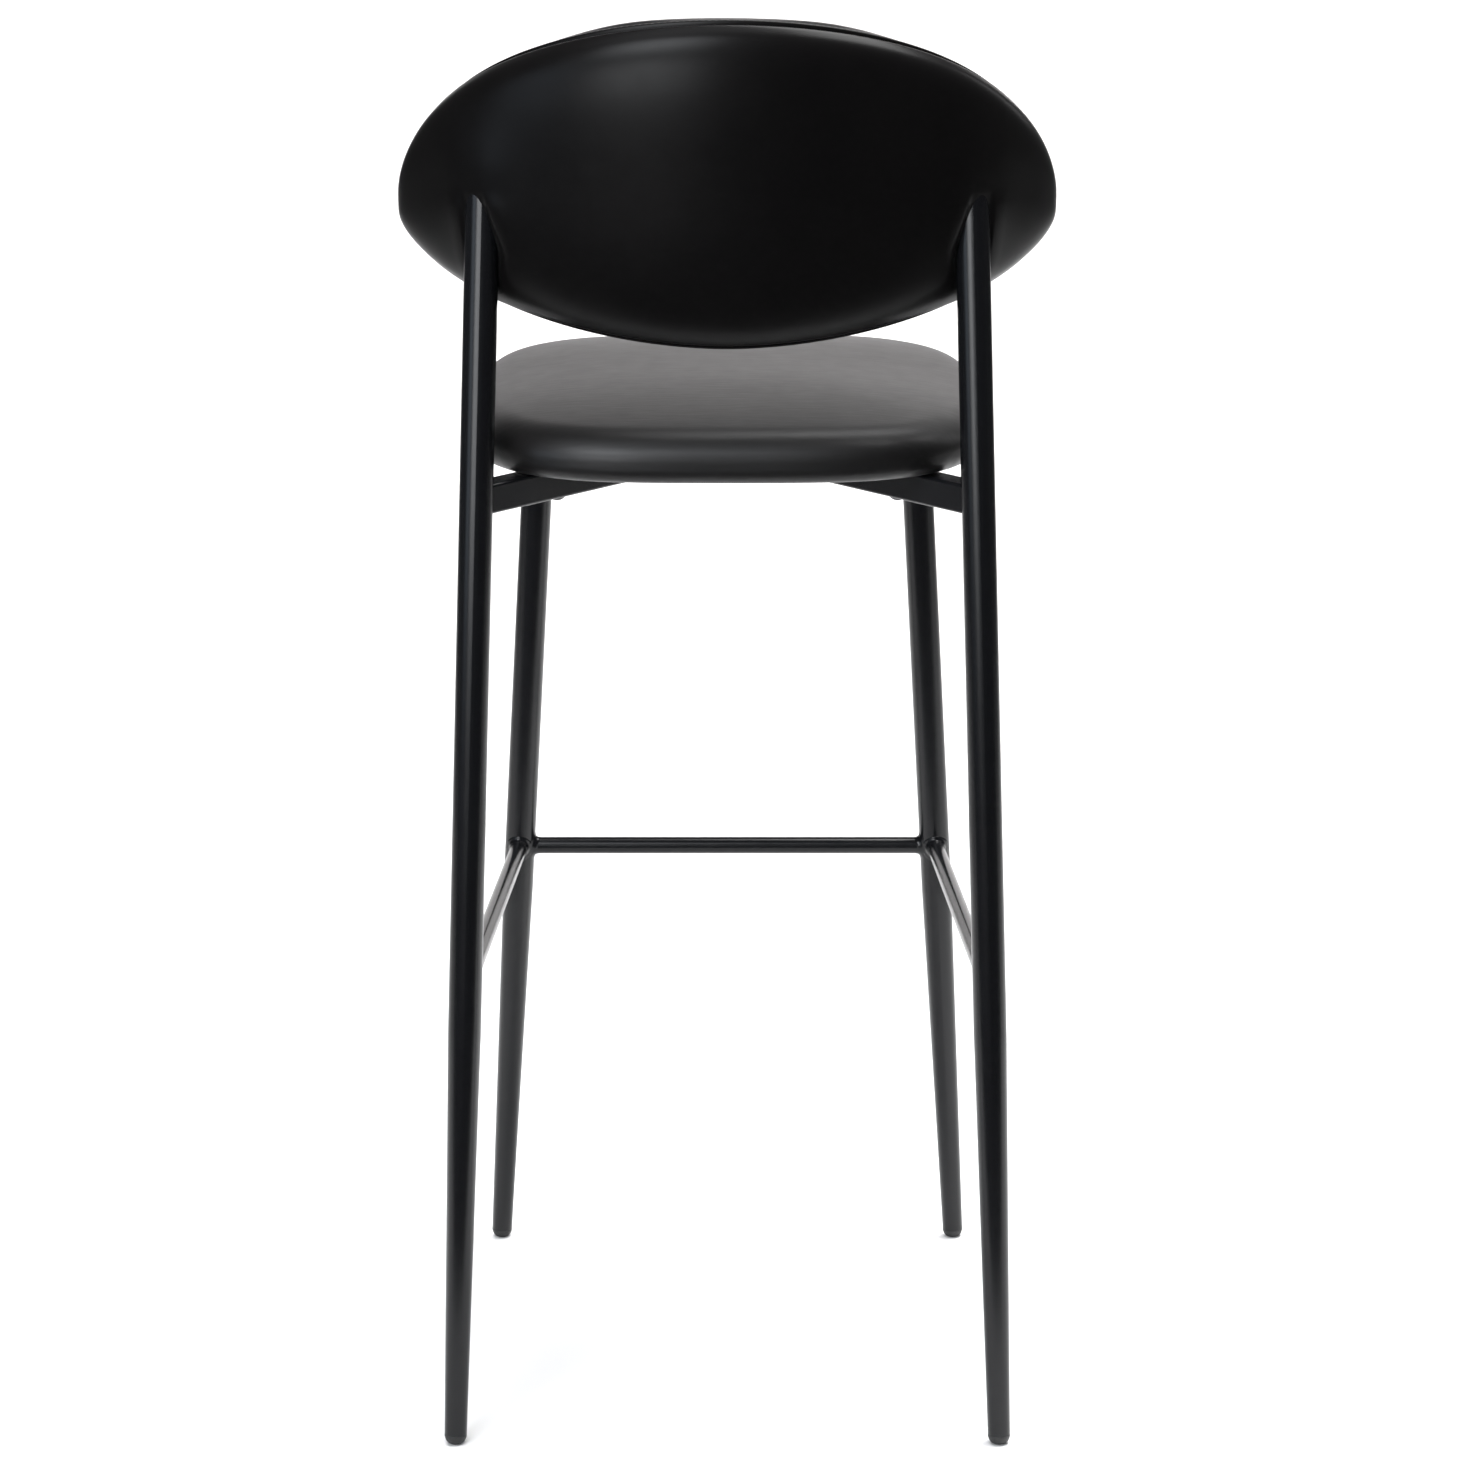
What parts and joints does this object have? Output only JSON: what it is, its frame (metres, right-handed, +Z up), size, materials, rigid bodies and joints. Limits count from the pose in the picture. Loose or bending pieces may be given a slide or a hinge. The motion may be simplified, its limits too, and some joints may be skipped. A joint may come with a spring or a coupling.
{
  "type": "bar stool",
  "caption": "Bar stool on tapered round tube legs with a three-sided footrest, a padded rounded-square seat and an oval wrapped backrest.",
  "frame": {"origin": "on the floor, in the middle of the stool's overall width and depth", "axes": "+Z up, -Y the way the sitter faces, +X the sitter's left"},
  "size_m": [0.4834, 0.4848, 1.0762],
  "materials": {
    "frame_paint": "satin powder coat",
    "glide_plastic": "matt",
    "screw_metal": "black oxide, semi-gloss",
    "nut_metal": "zinc plated",
    "seat_leather": "smooth artificial leather, soft sheen",
    "back_leather": "smooth artificial leather, soft sheen",
    "foam": "open foam",
    "plywood": "raw plywood",
    "dust_cloth": "non-woven cloth"
  },
  "bodies": {
    "root": {"back_front_cover": "back_leather", "back_front_foam": "foam", "back_panel": "plywood", "back_rear_cover": "back_leather", "back_rear_foam": "foam", "back_screws": "screw_metal", "back_tab_left": "frame_paint", "back_tab_right": "frame_paint", "back_tee_nuts": "nut_metal", "footrest_front_bar": "frame_paint", "footrest_side_bar_left": "frame_paint", "footrest_side_bar_right": "frame_paint", "front_glide_left": "glide_plastic", "front_glide_right": "glide_plastic", "front_leg_left": "frame_paint", "front_leg_plug_left": "glide_plastic", "front_leg_plug_right": "glide_plastic", "front_leg_right": "frame_paint", "rear_glide_left": "glide_plastic", "rear_glide_right": "glide_plastic", "rear_leg_left": "frame_paint", "rear_leg_right": "frame_paint", "seat_beam_front_half": "frame_paint", "seat_beam_long": "frame_paint", "seat_beam_rear_half": "frame_paint", "seat_board": "plywood", "seat_cover": "seat_leather", "seat_dust_cover": "dust_cloth", "seat_foam": "foam", "seat_screws": "screw_metal", "seat_tee_nuts": "nut_metal"}
  },
  "joints": []
}
